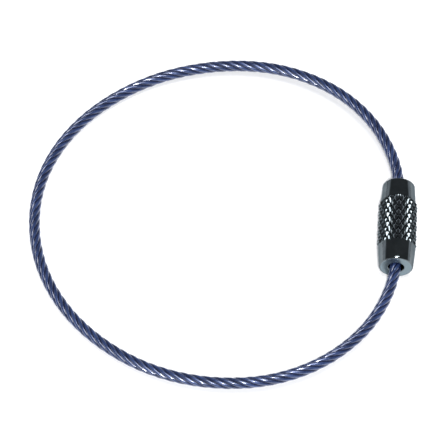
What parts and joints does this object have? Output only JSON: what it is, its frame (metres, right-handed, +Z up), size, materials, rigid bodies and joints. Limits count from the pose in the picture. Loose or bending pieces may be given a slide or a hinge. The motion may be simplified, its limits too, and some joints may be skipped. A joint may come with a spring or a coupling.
{
  "type": "wire rope key ring",
  "caption": "Springy loop of blue coated steel wire rope, closed by a knurled chrome screw connector that opens to take keys.",
  "frame": {"origin": "on the surface that the loop lies on, under the centre of the whole ring", "axes": "+Z up from the surface, +Y along the connector from the sleeve to the plug, +X from the loop's far side to the connector"},
  "size_m": [0.0537, 0.0552, 0.0055],
  "materials": {
    "jacket": "thin clear blue coating over stranded wire",
    "rope": "bright stranded stainless wire",
    "connector": "polished nickel-chrome plate, diamond knurl",
    "crimp": "plain crimped tube"
  },
  "bodies": {
    "cable_side": {"cable_jacket": "jacket", "wire_rope": "rope", "threaded_plug": "connector"},
    "stop": {"end_stop": "crimp"},
    "sleeve": {"knurled_sleeve": "connector"}
  },
  "joints": [
    {"name": "sleeve_travel", "type": "slide", "parent": "cable_side", "child": "stop", "axis": [0, -1, 0], "range_m": [0, 0.0035], "deforming": ["cable_jacket", "wire_rope"]},
    {"name": "sleeve_turn", "type": "hinge", "parent": "stop", "child": "sleeve", "pos_m": [0.02412, -0.00021, 0.00275], "axis": [0, -1, 0], "range_deg": [0, 1800]}
  ],
  "couplings": [
    {"joint": "sleeve_turn", "follows": "sleeve_travel", "rad_per_m": 8975.9}
  ]
}
